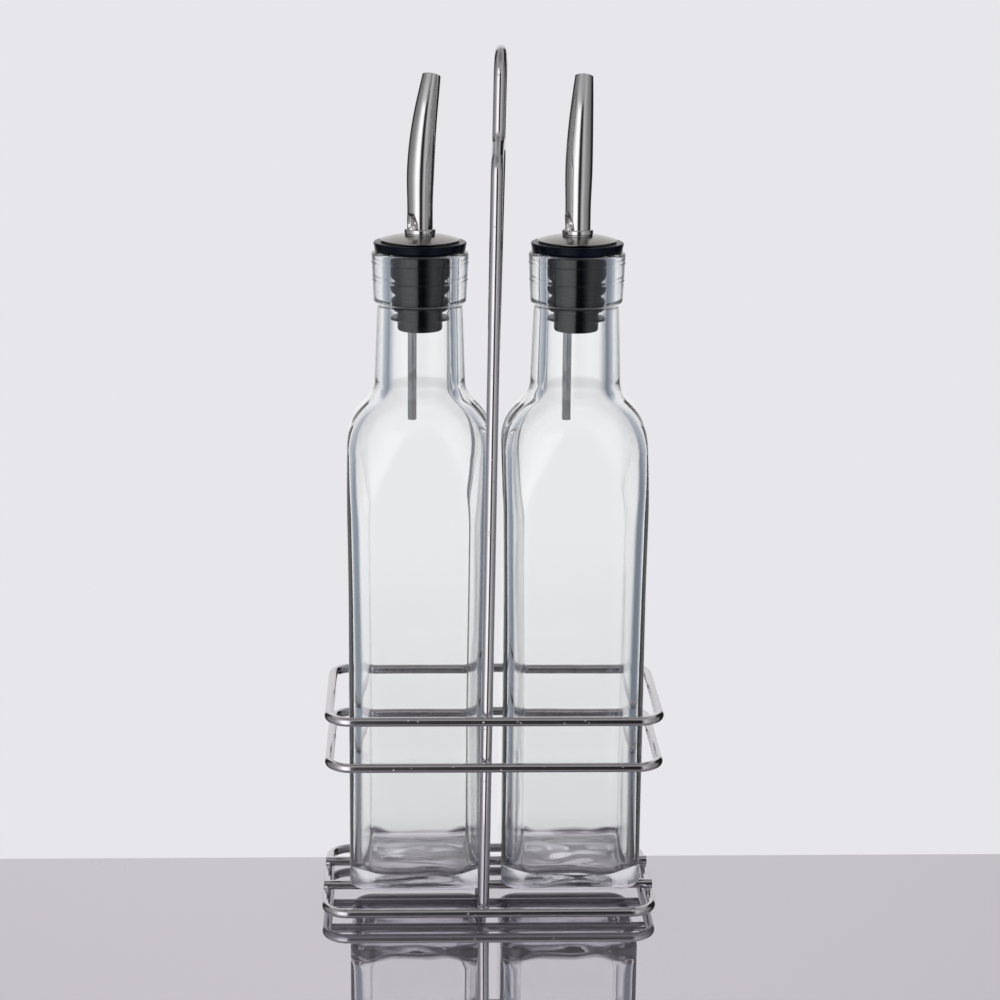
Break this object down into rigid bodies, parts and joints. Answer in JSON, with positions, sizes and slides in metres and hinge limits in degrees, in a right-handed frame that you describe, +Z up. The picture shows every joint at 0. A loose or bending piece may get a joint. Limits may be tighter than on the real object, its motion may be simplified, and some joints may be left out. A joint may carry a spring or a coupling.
{
  "type": "cruet set",
  "caption": "Oil and vinegar set: square glass bottles with rubber-stoppered steel pourers, standing in a chromed wire rack with a tall carrying handle.",
  "frame": {"origin": "on the table, under the middle of the whole set", "axes": "+X towards the right-hand bottle, +Y towards the back, +Z up"},
  "size_m": [0.1164, 0.0618, 0.2927],
  "materials": {
    "chromed_wire": "bright chrome plate on drawn wire, slightly grey",
    "clear_glass": "clear moulded glass, faint blue-green in the thick edges",
    "black_rubber": "satin black rubber",
    "polished_steel": "polished stainless steel",
    "satin_steel": "satin stainless steel"
  },
  "bodies": {
    "rack": {"base_ring": "chromed_wire", "base_cross_wire_front": "chromed_wire", "base_cross_wire_rear": "chromed_wire", "lower_guard_ring": "chromed_wire", "upper_guard_ring": "chromed_wire", "carry_handle": "chromed_wire"},
    "bottle_left": {"bottle_left": "clear_glass"},
    "stopper_left": {"stopper_left": "black_rubber"},
    "pourer_left": {"cap_disc_left": "satin_steel", "sleeve_left": "polished_steel", "spout_left": "polished_steel", "breather_tube_left": "satin_steel"},
    "bottle_right": {"bottle_right": "clear_glass"},
    "stopper_right": {"stopper_right": "black_rubber"},
    "pourer_right": {"cap_disc_right": "satin_steel", "sleeve_right": "polished_steel", "spout_right": "polished_steel", "breather_tube_right": "satin_steel"}
  },
  "joints": [
    {"name": "bottle_left_lift", "type": "slide", "parent": "rack", "child": "bottle_left", "axis": [0, 0, 1], "range_m": [0, 0.075]},
    {"name": "pourer_left_pull", "type": "slide", "parent": "bottle_left", "child": "stopper_left", "axis": [0, 0, 1], "range_m": [0, 0.06]},
    {"name": "spout_left_turn", "type": "hinge", "parent": "stopper_left", "child": "pourer_left", "pos_m": [-0.0247, 0, 0.2285], "axis": [0, 0, 1], "continuous": true},
    {"name": "bottle_right_lift", "type": "slide", "parent": "rack", "child": "bottle_right", "axis": [0, 0, 1], "range_m": [0, 0.075]},
    {"name": "pourer_right_pull", "type": "slide", "parent": "bottle_right", "child": "stopper_right", "axis": [0, 0, 1], "range_m": [0, 0.06]},
    {"name": "spout_right_turn", "type": "hinge", "parent": "stopper_right", "child": "pourer_right", "pos_m": [0.0275, 0, 0.2285], "axis": [0, 0, 1], "continuous": true}
  ]
}
